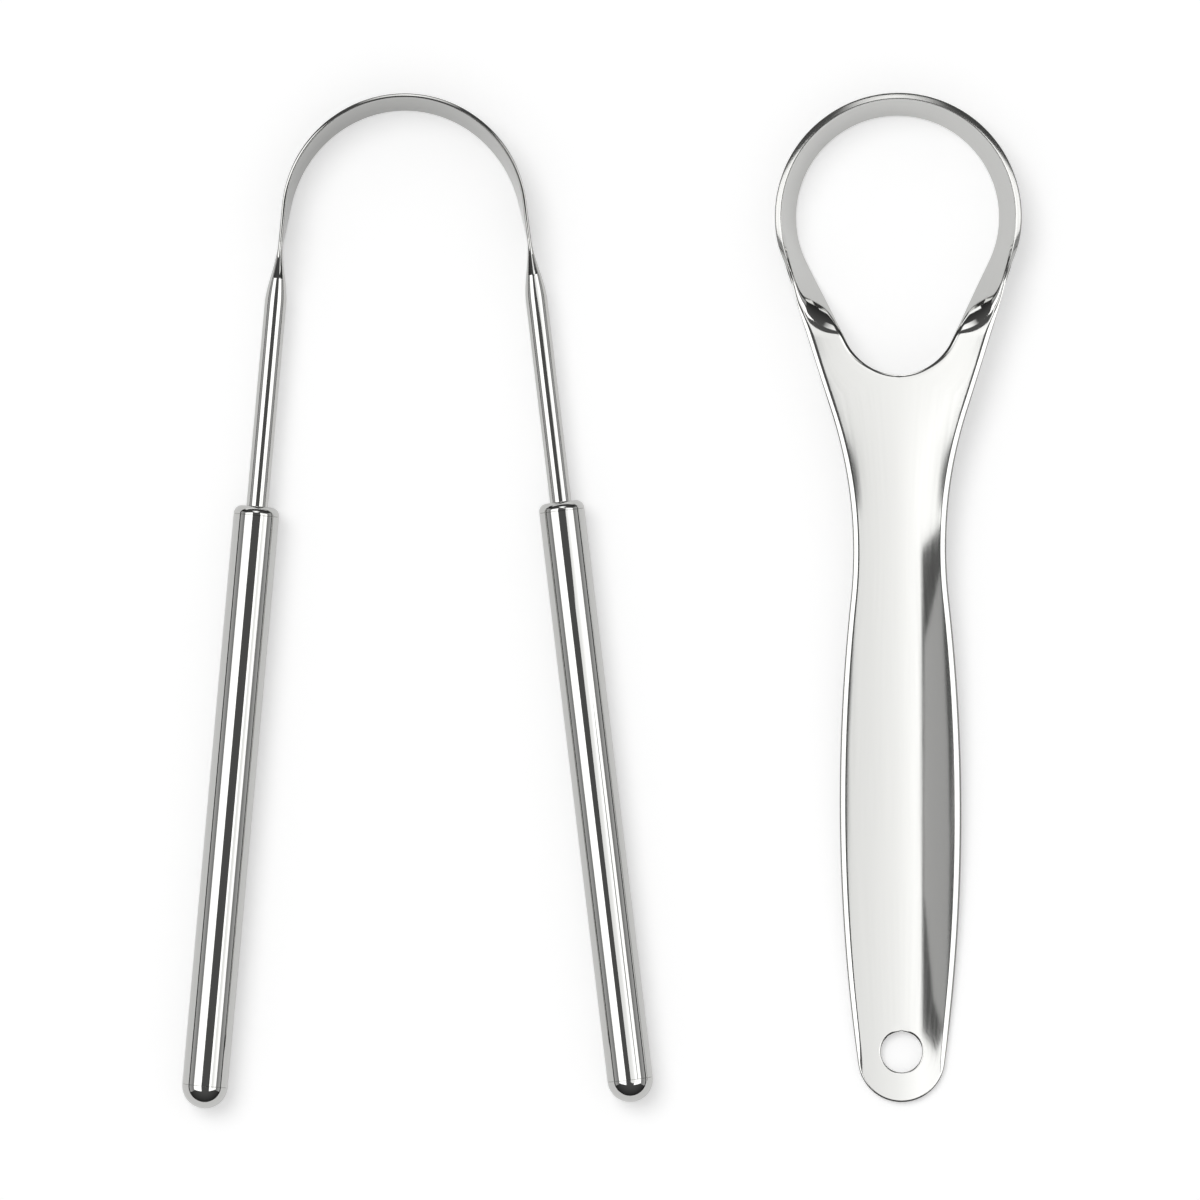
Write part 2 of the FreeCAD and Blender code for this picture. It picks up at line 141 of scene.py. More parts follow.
HOLE_RADIUS = 2.88
HOLE_DISTANCE = 119.95
LOOP_TURN = math.radians(0.27)
EDGE_NOSE = 0.14
NOSE_POWER = 0.6
BREAK = 0.2
BREAK_RADIUS = 0.29
EYE_GAP = 0.02
FORK_GAP = 0.3
CROTCH_FROM = -0.6
HOLE_SWEEP = 1.87
RING_STATIONS = 105
FORK_STATIONS = 90
CROTCH_STATIONS = 30
WAIST_STATIONS = 40
BELLY_STATIONS = 80
HOLE_STATIONS = 36
END_STATIONS = 50
MARCH_STEPS = 300
PLATE_SAMPLES = 500
PLATE_GATHER = 1.6
RING_SAMPLES = 300
PROFILE_STEPS = 65
RIM_STEPS = 11
LIP_STEPS = 9
GRAZING = 0.05
PROBE = 1e-4
TOUCH = 1e-6
FAR = 1e4


def linear(hex_colour):
    """The linear colour of an sRGB hex value: ((c + 0.055) / 1.055) ** 2.4, or c / 12.92 near black."""
    c = np.array([int(hex_colour[i:i + 2], 16) for i in (1, 3, 5)]) / 255
    return (*np.where(c <= 0.04045, c / 12.92, ((c + 0.055) / 1.055) ** 2.4), 1.0)


def smooth_step(value, low, high):
    """0 below low, 1 above high, and 3 t squared - 2 t cubed between them."""
    t = np.clip((value - low) / (high - low), 0, 1)
    return t * t * (3 - 2 * t)


def add_node(tree, kind, inputs=None, **settings):
    """Adds one node, with its settings, and with a value or a link for each named input."""
    made = tree.nodes.new(kind)
    for key, value in settings.items():
        setattr(made, key, value)
    for key, value in (inputs or {}).items():
        if isinstance(value, bpy.types.NodeSocket):
            tree.links.new(value, made.inputs[key])
        else:
            made.inputs[key].default_value = value
    return made


def grid_quads(rows, columns):
    """The quads between neighbouring rows and columns of a grid of points."""
    i, j = np.meshgrid(np.arange(rows - 1), np.arange(columns - 1), indexing="ij")
    first = (i * columns + j).ravel()
    return np.stack([first, first + 1, first + columns + 1, first + columns], axis=1)


def make_piece(name, patches, materials):
    """One closed mesh of welded patches.

    A patch is a grid of points and its uv grid, both in mm, and a material number.
    """
    points = np.concatenate([grid.reshape(-1, 3) for grid, uv, number in patches]) * MM
    uvs = np.concatenate([uv.reshape(-1, 2) for grid, uv, number in patches])
    starts = np.cumsum([0] + [grid.shape[0] * grid.shape[1] for grid, uv, number in patches])
    quads = [grid_quads(*grid.shape[:2]) + start for (grid, uv, number), start in zip(patches, starts)]
    numbers = np.concatenate([np.full(len(q), number) for q, (grid, uv, number) in zip(quads, patches)])
    quads = np.concatenate(quads)
    mesh = bpy.data.meshes.new(name)
    mesh.from_pydata(points, [], quads)
    mesh.uv_layers.new(name="surface_mm").data.foreach_set("uv", uvs[quads.ravel()].ravel())
    mesh.polygons.foreach_set("material_index", numbers)
    for material in materials:
        mesh.materials.append(material)
    shell = bmesh.new()
    shell.from_mesh(mesh)
    bmesh.ops.remove_doubles(shell, verts=shell.verts, dist=WELD)
    bmesh.ops.recalc_face_normals(shell, faces=shell.faces)
    shell.to_mesh(mesh)
    shell.free()
    mesh.shade_smooth()
    mesh.set_sharp_from_angle(angle=SHARP_ANGLE)
    piece = bpy.data.objects.new(name, mesh)
    bpy.context.scene.collection.objects.link(piece)
    return piece


def section_uv(points):
    """Distance down the rows and across the columns of a grid of points, in mm."""
    down = np.linalg.norm(np.diff(points, axis=0), axis=2).mean(1)
    across = np.linalg.norm(np.diff(points, axis=1), axis=2).mean(0)
    u = np.concatenate([[0], np.cumsum(down)])
    v = np.concatenate([[0], np.cumsum(across)])
    return np.stack(np.meshgrid(u, v, indexing="ij"), axis=2)


def patch(points, number=0):
    """A grid of points with its own uv grid and material number."""
    return points, section_uv(points), number


def end_cap(ring):
    """A flat end: a closed ring of points drawn in to its middle."""
    middle = np.broadcast_to(ring[:-1].mean(0), ring.shape)
    return patch(np.stack([ring, middle]))


# Where the sprung scraper lies, from the pivots of its two arms
joints = {joint["name"]: joint for joint in frame["joints"]}
left_pivot = np.array(joints["left_arm_flex"]["pos_m"][:2]) / MM
right_pivot = np.array(joints["right_arm_flex"]["pos_m"][:2]) / MM
bow_turn = math.atan2(*(right_pivot - left_pivot)[::-1])


def bow_path(s):
    """Place and outward direction at distance s from the crown.

    The path is an arc of PATH_RADIUS and then its tangent line.
    """
    turn = np.minimum(s, ARC_LENGTH) / PATH_RADIUS
    out = np.stack([np.sin(turn), np.cos(turn)], axis=1)
    along = np.stack([np.cos(turn), -np.sin(turn)], axis=1)
    return PATH_RADIUS * out + np.maximum(s - ARC_LENGTH, 0)[:, None] * along, out


def turned(points, angle):
    """Points or directions turned by an angle about the vertical."""
    x, y = points[..., 0], points[..., 1]
    spun = [x * math.cos(angle) - y * math.sin(angle), x * math.sin(angle) + y * math.cos(angle)]
    return np.stack(spun + [points[..., k] for k in range(2, points.shape[-1])], axis=-1)


pivot_rise = bow_path(np.linspace(0, HALF_BAND, PIVOT_SAMPLES))[0][:, 1].mean()
bow_centre = (left_pivot + right_pivot) / 2 - turned(np.array([0, pivot_rise]), bow_turn)


def on_bow(points, side):
    """Points of the right half of the sprung scraper put in place, mirrored for the left half."""
    placed = turned(points * np.array([side, 1, 1]), bow_turn)
    return placed + np.array([bow_centre[0], bow_centre[1], 0])


def stadium(half_width, half_height, power, steps):
    """Offsets across and up of an upright stadium: a circle of half_width pulled to 2 half_height tall.

    The cosine and sine of its angle are raised to a power, and below 1 that makes the ends flatter.
    """
    angle = np.linspace(0, 2 * math.pi, steps + 1) + math.pi / steps
    cosine = np.sign(np.cos(angle)) * np.abs(np.cos(angle)) ** power
    sine = np.sign(np.sin(angle)) * np.abs(np.sin(angle)) ** power
    across = half_width[:, None] * cosine
    up = half_width[:, None] * sine + (half_height - half_width)[:, None] * np.sign(sine)
    return across, up


def band_grid():
    """The right half of the band: a stadium on the bow's path, its lower edge leaning in by the rake.

    The rake is BAND_RAKE (1 - (s / HALF_BAND) ** RAKE_FADE), and the stations gather towards the crown.
    The band's edges are flattened, and round off where they meet the rod.
    """
    s = HALF_BAND * np.linspace(0, 1, BAND_STATIONS) ** BAND_GATHER
    place, out = bow_path(s)
    rake = BAND_RAKE * (1 - (s / HALF_BAND) ** RAKE_FADE)
    lean = np.arctan2(rake, BAND_WIDTH)
    half = np.full(len(s), BAND_THICKNESS / 2)
    tall = (BAND_WIDTH - BAND_THICKNESS) / 2 / np.cos(lean) + BAND_THICKNESS / 2
    power = EDGE_FLAT + (1 - EDGE_FLAT) * smooth_step(s, EDGE_ROUND_FROM * HALF_BAND, HALF_BAND)
    across, up = stadium(half, tall, power[:, None], BAND_STEPS)
    sine, cosine = np.sin(lean)[:, None], np.cos(lean)[:, None]
    outward = across * cosine + up * sine - rake[:, None] / 2
    rise = MID_HEIGHT - across * sine + up * cosine
    flat = place[:, None, :] + outward[:, :, None] * out[:, None, :]
    return np.concatenate([flat, rise[:, :, None]], axis=2)


ARM_START = PATH_RADIUS * np.array([math.cos(ARM_SPLAY), math.sin(ARM_SPLAY)])
ARM_ALONG = np.array([math.sin(ARM_SPLAY), -math.cos(ARM_SPLAY)])
ARM_ACROSS = np.array([math.cos(ARM_SPLAY), math.sin(ARM_SPLAY)])


def on_arm(along, across, up):
    """Points from a distance along the right arm, an offset across it and a height above its axis."""
    along, across, up = np.broadcast_arrays(along, across, up)
    flat = ARM_START + along[..., None] * ARM_ALONG + across[..., None] * ARM_ACROSS
    return np.concatenate([flat, (MID_HEIGHT + up)[..., None]], axis=-1)


def rod_grid():
    """The right rod: a stadium forged from the band's section to round.

    Its width eases from the band's thickness to the rod's over FORGED_LENGTH. Its ridge falls from the
    band's edge over RIDGE_FALL as the distance to RIDGE_POWER, so that it meets the round rod in a dent.
    """
    forged = BAND_RUN + np.linspace(0, 1, FORGED_STATIONS) * FORGED_LENGTH
    plain = np.array(PLAIN_STATIONS) / PLAIN_STATIONS[-1]
    plain_length = ROD_REACH + COLLAR_FLANGE + COLLAR_SPIGOT
    along = np.concatenate([forged, forged[-1] + plain * plain_length])
    half = BAND_THICKNESS / 2
    width = half + (ROD_RADIUS - half) * smooth_step(along, BAND_RUN, BAND_RUN + FORGED_LENGTH)
    fallen = np.clip((along - BAND_RUN) / RIDGE_FALL, 0, 1) ** RIDGE_POWER
    height = MID_HEIGHT + (ROD_RADIUS - MID_HEIGHT) * fallen
    across, up = stadium(np.minimum(width, height), height, 1, ROD_STEPS)
    return on_arm(along[:, None], across, up)


def spun_grid(profile):
    """A closed outline of (along, radius) points spun round the right arm's axis."""
    angle = np.linspace(0, 2 * math.pi, SPIN_STEPS + 1)
    along, radius = profile[:, :1], profile[:, 1:]
    return on_arm(along, radius * np.cos(angle), radius * np.sin(angle))


def quarter(centre, radius, start, steps=20):
    """Points of a quarter circle in (along, radius), from the angle start and turning with the clock."""
    angle = np.radians(np.linspace(start, start - 90, steps))
    return np.stack([centre[0] + radius * np.cos(angle), centre[1] + radius * np.sin(angle)], axis=1)


def collar_profile():
    """The handle's rounded mouth, with the rod's bore through it and a spigot in the tube."""
    joint = MOUTH + COLLAR_FLANGE
    foot = joint + COLLAR_SPIGOT
    bore = ROD_RADIUS + FIT
    spigot = TUBE_BORE - FIT
    face = [[MOUTH + MOUTH_BREAK, bore], [MOUTH, bore + MOUTH_BREAK],
            [MOUTH, HANDLE_RADIUS - MOUTH_ROUND - SHORT_FLAT]]
    bend = quarter((MOUTH + MOUTH_ROUND, HANDLE_RADIUS - MOUTH_ROUND), MOUTH_ROUND, 180)
    rest = [[MOUTH + MOUTH_ROUND + SHORT_FLAT, HANDLE_RADIUS], [joint - SEAM, HANDLE_RADIUS],
            [joint, HANDLE_RADIUS - SEAM], [joint, spigot], [foot, spigot], [foot, bore],
            [MOUTH + MOUTH_BREAK, bore]]
    return np.concatenate([face, bend, rest])


def tube_profile():
    """A plain tube between the collar and the end plug, its edges broken by SEAM."""
    start = MOUTH + COLLAR_FLANGE
    stop = MOUTH + HANDLE_LENGTH - HANDLE_RADIUS
    return np.array([[start, HANDLE_RADIUS - SEAM], [start + SEAM, HANDLE_RADIUS],
                     [stop - SEAM, HANDLE_RADIUS], [stop, HANDLE_RADIUS - SEAM],
                     [stop, TUBE_BORE], [start, TUBE_BORE], [start, HANDLE_RADIUS - SEAM]])


def plug_profile():
    """A half-round dome with a spigot in the tube."""
    joint = MOUTH + HANDLE_LENGTH - HANDLE_RADIUS
    spigot = TUBE_BORE - FIT
    foot = joint - PLUG_SPIGOT
    start = [[foot, 0], [foot, spigot], [joint, spigot], [joint, HANDLE_RADIUS - SEAM]]
    dome = quarter((joint, 0), HANDLE_RADIUS, 90, DOME_STEPS)
    return np.concatenate([start, [[joint + SEAM, dome[0, 1]]], dome[2:]])


# Where the loop scraper lies, from its hanging hole
mounts = {mount["name"]: mount for mount in frame["record"]["mounts"]}
hole_place = np.array(mounts["hanging_hole"]["pos_m"][:2]) / MM
loop_centre = hole_place - turned(np.array([0, -HOLE_DISTANCE]), LOOP_TURN)


def unit(angle):
    """Directions at an angle from the cross axis."""
    return np.stack([np.cos(angle), np.sin(angle)], axis=-1)


def arc_stations(centre, radius, angles, outward=1):
    """Points of an arc and the directions out of the loop's outline there."""
    return centre + radius * unit(angles), outward * unit(angles)


def loop_outline():
    """Stations down the right half of the sheet's outline, each a point and an outward direction.

    The outline runs through the ring, fork line, waist, belly and end arc, all tangent. Stations gather
    where the directions graze the crotch and the hole.
    """
    waist = np.array([WAIST_HALF_WIDTH + WAIST_RADIUS, -WAIST_DISTANCE])
    reach = math.hypot(*waist)
    heading = math.atan2(waist[1], waist[0]) + math.acos((RING_RADIUS + WAIST_RADIUS) / reach)
    ring_angles = np.linspace(math.pi / 2, heading, RING_STATIONS)
    fork_start = RING_RADIUS * unit(heading)
    fork_end = waist - WAIST_RADIUS * unit(heading)
    fork_length = math.hypot(*(fork_end - fork_start))
    fork_line = (fork_end - fork_start) / fork_length
    crotch_angles = np.linspace(CROTCH_FROM, -math.pi / 2, CROTCH_STATIONS)
    crotch = np.array([0, -CROTCH_DISTANCE]) + CROTCH_RADIUS * unit(crotch_angles)
    along = np.linspace(FORK_GAP, fork_length, FORK_STATIONS)
    along = np.concatenate([along, (crotch - fork_start) @ fork_line])
    along = np.unique(np.round(along, 3))
    drop = BELLY_DISTANCE - WAIST_DISTANCE
    side = math.sqrt((BELLY_RADIUS + WAIST_RADIUS) ** 2 - drop ** 2)
    belly = waist - np.array([side, drop])
    end = np.array([0, -END_DISTANCE])
    first = math.atan2(drop, side)
    last = math.atan2(*(end - belly)[::-1])
    end_radius = BELLY_RADIUS - math.hypot(*(end - belly))
    waist_angles = np.linspace(math.pi + heading, math.pi + first, WAIST_STATIONS)[1:]
    hole_angles = math.pi / 2 - HOLE_SWEEP * np.linspace(0, 1, HOLE_STATIONS) ** 2
    hole = np.array([0, -HOLE_DISTANCE]) + (HOLE_RADIUS + EDGE_NOSE) * unit(hole_angles) - belly
    belly_angles = np.linspace(first, last, BELLY_STATIONS)[1:]
    belly_angles = np.concatenate([belly_angles, np.arctan2(hole[:, 1], hole[:, 0])])
    belly_angles = np.unique(np.round(belly_angles[belly_angles >= last], 7))[::-1]
    end_angles = np.linspace(last, -math.pi / 2, END_STATIONS)[1:]
    fork = fork_start + along[:, None] * fork_line, np.broadcast_to(unit(heading), (len(along), 2))
    runs = [arc_stations(0, RING_RADIUS, ring_angles), fork,
            arc_stations(waist, WAIST_RADIUS, waist_angles, -1),
            arc_stations(belly, BELLY_RADIUS, belly_angles), arc_stations(end, end_radius, end_angles)]
    return np.concatenate([run[0] for run in runs]), np.concatenate([run[1] for run in runs])


def eye_distance(points):
    """How far points lie outside the eye: two circles, the eye's and the crotch's, and their tangents."""
    x, d = np.abs(points[..., 0]), -points[..., 1]
    slant = (EYE_RADIUS - CROTCH_RADIUS) / CROTCH_DISTANCE
    level = math.sqrt(1 - slant * slant)
    k = level * d - slant * x
    top = np.hypot(x, d) - EYE_RADIUS
    low = np.hypot(x, d - CROTCH_DISTANCE) - CROTCH_RADIUS
    flank = level * x + slant * d - EYE_RADIUS
    return np.where(k < 0, top, np.where(k > level * CROTCH_DISTANCE, low, flank))


def hole_distance(points):
    """How far points lie outside the hanging hole."""
    return np.hypot(points[..., 0], points[..., 1] + HOLE_DISTANCE) - HOLE_RADIUS


def reach_inward(edge, out, distance, gap):
    """How far each inward line runs from the outline until it is gap away from an opening."""
    run = np.zeros(len(edge))
    for step in range(MARCH_STEPS):
        run = np.minimum(run + distance(edge - run[:, None] * out) - gap, FAR)
    return run


def rolled(distance, width, radius):
    """How far a face has rolled down at a distance from its edge: an arc of radius over the last width."""
    into = np.clip(width - distance, 0, width)
    return radius - np.sqrt(radius * radius - into * into)


def plate_height(x, d):
    """Top of the handle: level by the ring, then crowned by CROWN_RADIUS and falling towards its end.

    The fall starts as a parabola over FALL_EASE. The rim of the hanging hole is rolled down, and its edge
    broken. The break fades out at the hole's top, as the cosine of the angle from there passes HOLE_TOP.
    """
    past = np.maximum(d - CROWN_START, 0)
    eased = np.where(past < FALL_EASE, past * past / (2 * FALL_EASE), past - FALL_EASE / 2)
    slope = HANDLE_FALL / (HOLE_DISTANCE - CROWN_START - FALL_EASE / 2)
    crown = CROWN_RADIUS - np.sqrt(CROWN_RADIUS ** 2 - x * x)
    off_hole = hole_distance(np.stack([x, -d], axis=-1))
    below_top = 1 - smooth_step((HOLE_DISTANCE - d) / (off_hole + HOLE_RADIUS), *HOLE_TOP)
    at_hole = rolled(off_hole, HOLE_ROLL, HOLE_ROLL_RADIUS)
    at_hole = at_hole + below_top * rolled(off_hole - EDGE_NOSE, BREAK, BREAK_RADIUS)
    return RING_HEIGHT - slope * eased - crown * smooth_step(d, CROWN_START, CROWN_FULL) - at_hole


def dished_height(x, d):
    """Top of the sheet where its wall, dished down along the eye, twists up into the plate of the fork.

    The wall falls from a bend, at a width from the eye's edge, to a foot that rises from the table to the
    plate between TWIST_START and TWIST_END. With v = 1 - distance from the eye / width, the fall is the
    wall's height times (v + k) ** 2 / 4 k round the bend, where |v| < k, and times v below it. The eye's
    edge is rolled down on the plate, less and less towards the crotch.
    """
    off_eye = np.maximum(eye_distance(np.stack([x, -d], axis=-1)), 0)
    width = WALL_WIDTH + (FORK_WALL_WIDTH - WALL_WIDTH) * smooth_step(d, *WALL_WIDENS)
    v = 1 - off_eye / width
    k = WALL_BEND + WALL_BEND_GROWTH * smooth_step(d, *WALL_BEND_GROWS)
    fall = np.where(np.abs(v) < k, (v + k) ** 2 / (4 * k), np.maximum(v, 0))
    tall = (RING_HEIGHT - WALL_FOOT) * (1 - smooth_step(d, TWIST_START, TWIST_END))
    lip = smooth_step(d, *EYE_ROLL_GROWS) * (1 - EYE_ROLL_LOSS * smooth_step(d, *EYE_ROLL_FADES))
    return plate_height(x, d) - tall * fall - lip * rolled(off_eye, EYE_ROLL, EYE_ROLL_RADIUS)


def even_rows(w, z, steps):
    """Each row of a profile sampled afresh at even distances along it."""
    length = np.cumsum(np.hypot(np.diff(w, axis=1), np.diff(z, axis=1)), axis=1)
    length = np.concatenate([np.zeros((len(w), 1)), length], axis=1)
    share = np.linspace(0, 1, steps)
    new_w = [np.interp(share * row[-1], row, values) for row, values in zip(length, w)]
    new_z = [np.interp(share * row[-1], row, values) for row, values in zip(length, z)]
    return np.array(new_w), np.array(new_z)


def plate_profile(edge, out, start, steps):
    """Top face of the fork and the handle, from an opening or the middle line to the outline.

    Its edge is rolled down along the sides, and broken instead over END_STRETCH, round the end.
    """
    stop = -EDGE_NOSE
    gathered = 1 - (1 - np.linspace(0, 1, PLATE_SAMPLES)) ** PLATE_GATHER
    w = start[:, None] + (stop - start)[:, None] * gathered
    points = edge[:, None, :] + w[:, :, None] * out[:, None, :]
    at_end = smooth_step(-edge[:, 1:], *END_STRETCH)
    roll = (1 - END_ROLL_LOSS * at_end) * rolled(-w, EDGE_ROLL, EDGE_ROLL_RADIUS)
    roll = roll + at_end * rolled(-w - EDGE_NOSE, BREAK, BREAK_RADIUS)
    z = dished_height(points[..., 0], -points[..., 1]) - roll
    return even_rows(w, z, steps)


def ring_profile(edge, out, start, steps):
    """Inner face of the ring: a cone from its foot to a rim, the sheet's own edge, square to the cone."""
    w = start[:, None] + (-RIM_WIDTH - start)[:, None] * np.linspace(0, 1, RING_SAMPLES)
    points = edge[:, None, :] + w[:, :, None] * out[:, None, :]
    rise = (RING_HEIGHT - EDGE_NOSE - WALL_FOOT) / (RING_RADIUS - RIM_WIDTH - EYE_RADIUS)
    return even_rows(w, WALL_FOOT + (np.hypot(points[..., 0], points[..., 1]) - EYE_RADIUS) * rise, steps)


def nose(first, second, outward, depth, steps):
    """Rounded edge of the sheet from one face to the other: half a superellipse, out by depth."""
    angle = np.linspace(0, math.pi, steps)
    share = (1 - np.sign(np.cos(angle)) * np.abs(np.cos(angle)) ** NOSE_POWER) / 2
    bulge = depth * np.sin(angle) ** NOSE_POWER
    span = (second - first)[:, None, :]
    return first[:, None, :] + share[None, :, None] * span + bulge[None, :, None] * outward[:, None, :]


def loop_patches():
    """Right half of the loop scraper's sheet: top, rim, under face, and edges of eye and hole.

    The under face is the top moved square to each profile by the thickness, with every second point kept.
    """
    edge, out = loop_outline()
    to_eye = reach_inward(edge, out, eye_distance, EYE_GAP)
    to_hole = reach_inward(edge, out, hole_distance, EDGE_NOSE)
    grazing = np.abs(out[:, 0]) < GRAZING
    to_axis = np.where(grazing, FAR, edge[:, 0] / np.where(grazing, 1, out[:, 0]))
    start = -np.minimum(np.minimum(to_eye, to_hole), to_axis)
    plate = plate_profile(edge, out, start, PROFILE_STEPS)
    ring = ring_profile(edge, out, start, PROFILE_STEPS)
    share = smooth_step(-edge[:, 1], *RING_GIVES_WAY)[:, None]
    w = ring[0] + share * (plate[0] - ring[0])
    z = ring[1] + share * (plate[1] - ring[1])
    along_w, along_z = np.gradient(w, axis=1), np.gradient(z, axis=1)
    length = np.hypot(along_w, along_z)
    along_w, along_z = along_w / length, along_z / length
    on_axis = to_axis <= -start + TOUCH
    along_w[on_axis, 0] = 1
    along_z[on_axis, 0] = 0

    def solid(offset_w, offset_z):
        """Points at distances out of the outline and at heights."""
        flat = edge[:, None, :] + offset_w[:, :, None] * out[:, None, :]
        return np.concatenate([flat, offset_z[:, :, None]], axis=2)

    inner = solid(w, z)
    thick = RING_SHEET + share * (SHEET - RING_SHEET)
    outer = solid(w + thick * along_z, z - thick * along_w)
    rise = np.concatenate([along_w[:, -1:] * out, along_z[:, -1:]], axis=1)
    rim = nose(inner[:, -1], outer[:, -1], rise, EDGE_NOSE, RIM_STEPS)
    patches = [patch(inner), patch(rim, 1), patch(outer[:, ::-2])]
    for distance, reach in ((eye_distance, to_eye), (hole_distance, to_hole)):
        near = reach <= -start + TOUCH
        held = near.copy()
        held[1:] |= near[:-1]
        held[:-1] |= near[1:]
        lip = inner[held][:, 0, :2]
        shift = PROBE * np.eye(2)
        away = np.stack([distance(lip + s) - distance(lip - s) for s in shift], axis=1)
        away = away / np.linalg.norm(away, axis=1, keepdims=True)
        inward = -np.concatenate([along_w[held, :1] * away, along_z[held, :1]], axis=1)
        patches.append(patch(nose(inner[held][:, 0], outer[held][:, 0], inward, EDGE_NOSE, LIP_STEPS)))
    return patches


def on_loop(points, side):
    """Points of the right half of the loop scraper put in place, mirrored for the left half."""
    placed = turned(points * np.array([side, 1, 1]), LOOP_TURN)
    return placed + np.array([loop_centre[0], loop_centre[1], 0])


# How often polishing lines change in a millimetre along a piece, and the range that most noise keeps to
LINE_RATE = 0.05
NOISE_LOW = 0.3
NOISE_HIGH = 0.7


def polished_steel(name, colour, dull_colour, gloss, dull, line_width, wave_period, wave_height):
    """Polished stainless steel: a mirror with faint polishing lines and a slow, shallow waviness.

    The lines run along the piece. Their width and the waves' period and height are in mm.
    """
    material = bpy.data.materials.new(name)
    material.use_nodes = True
    tree = material.node_tree
    shader = tree.nodes["Principled BSDF"]
    shader.inputs["Metallic"].default_value = 1.0
    place = add_node(tree, "ShaderNodeTexCoord")
    lines_at = add_node(tree, "ShaderNodeMapping", {"Vector": place.outputs["UV"],
                                                    "Scale": (LINE_RATE, 1 / line_width, 1)})
    lines = add_node(tree, "ShaderNodeTexNoise", {"Vector": lines_at.outputs[0], "Scale": 1.0,
                                                  "Detail": 3.0})
    waves = add_node(tree, "ShaderNodeTexNoise", {"Vector": place.outputs["Object"],
                                                  "Scale": 1 / (wave_period * MM), "Detail": 1.0})
    rough = add_node(tree, "ShaderNodeMapRange", {"Value": lines.outputs["Fac"], "From Min": NOISE_LOW,
                                                  "From Max": NOISE_HIGH, "To Min": gloss, "To Max": dull})
    tone = add_node(tree, "ShaderNodeMix", {"Factor": lines.outputs["Fac"], "A": linear(colour),
                                            "B": linear(dull_colour)}, data_type="RGBA")
    bump = add_node(tree, "ShaderNodeBump", {"Height": waves.outputs["Fac"], "Distance": wave_height * MM})
    tree.links.new(tone.outputs["Result"], shader.inputs["Base Color"])
    tree.links.new(rough.outputs["Result"], shader.inputs["Roughness"])
    tree.links.new(bump.outputs["Normal"], shader.inputs["Normal"])
    return material


# Stainless bar, turned and buffed along its length: clear long reflections with hardly a line in them
bar_steel = polished_steel("buffed_stainless_bar", "#CDCDCB", "#C6C6C4", gloss=0.03, dull=0.07,
                           line_width=0.25, wave_period=9.0, wave_height=0.0006)
# The same bar hammered flat and buffed by hand: a little softer. Its colour is darker than the bar's as
# painted shade, so that the shadowed floor inside the bow mirrors darker in it
shade_darkened_band_steel = polished_steel("buffed_stainless_band_painted_shade", "#BABAB8", "#B1B1AF", gloss=0.04, dull=0.08,
                            line_width=0.2, wave_period=7.0, wave_height=0.0005)
# Stainless sheet, pressed and then polished: a mirror that waves a little where the press stretched it
sheet_steel = polished_steel("pressed_stainless_sheet", "#CDCDCB", "#CACAC8", gloss=0.06, dull=0.09,
                             line_width=0.4, wave_period=6.0, wave_height=0.0008)
# The sheet's sheared rim, only broken with a stone: duller, with short marks
rim_steel = polished_steel("stoned_stainless_edge", "#CACAC8", "#A9A9A7", gloss=0.08, dull=0.26,
                           line_width=0.15, wave_period=1.5, wave_height=0.0030)


band = band_grid()
rod = rod_grid()
turned_parts = {"collar": collar_profile(), "handle_tube": tube_profile(), "end_plug": plug_profile()}
for side, sign in (("left", -1), ("right", 1)):
    arm = side + "_arm"
    points = on_bow(band, sign)
    half = make_piece("blade_band_" + side, [patch(points), end_cap(points[0]), end_cap(points[-1])],
                      [shade_darkened_band_steel])
    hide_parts("blade_band")
    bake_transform(half)
    points = on_bow(rod, sign)
    made = [make_piece(side + "_forged_rod", [patch(points), end_cap(points[0]), end_cap(points[-1])],
                       [bar_steel])]
    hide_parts(side + "_rod")
    for part, profile in turned_parts.items():
        piece = make_piece(side + "_turned_" + part, [patch(on_bow(spun_grid(profile), sign))],
                           [bar_steel])
        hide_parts(side + "_" + part)
        made.append(piece)
    for piece in made:
        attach(piece, arm)

half_loop = loop_patches()
halves = [(on_loop(points, sign), uv, number) for sign in (1, -1) for points, uv, number in half_loop]
loop = make_piece("pressed_loop", halves, [sheet_steel, rim_steel])
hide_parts("loop_scraper")
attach(loop, "loop")


# Studio, in metres: a white floor, a soft key light, and cards and softboxes that only the steel sees
VIEW_WIDTH = 0.17227
VIEW_CENTRE = (-0.00024, 0.00013)
CAMERA_HEIGHT = 2.0
FLOOR_REACH = 8.0
FLOOR_LEVEL = -5e-5
SIDE_WALL = 1.9
SIDE_HALF_WIDTH = 0.9
SIDE_LOW = 0.22
SIDE_HIGH = 1.2
BACK_WALL = 1.2
BACK_HALF_WIDTH = 0.5
BACK_LOW = 1.05
BACK_HIGH = 2.3
LOW_LIGHT_HALF_WIDTH = 0.9
LOW_LIGHT_FOOT = 0.04
WHITE_CARD_HEIGHT = 0.11
GREY_CARD_HEIGHT = 0.08
FLOOR_GLOW = 0.36
MIRRORED_GLOW = 0.22
AMBIENT = 0.5
KEY_SPREAD = math.radians(36)
KEY_LEAN = math.radians(-20)


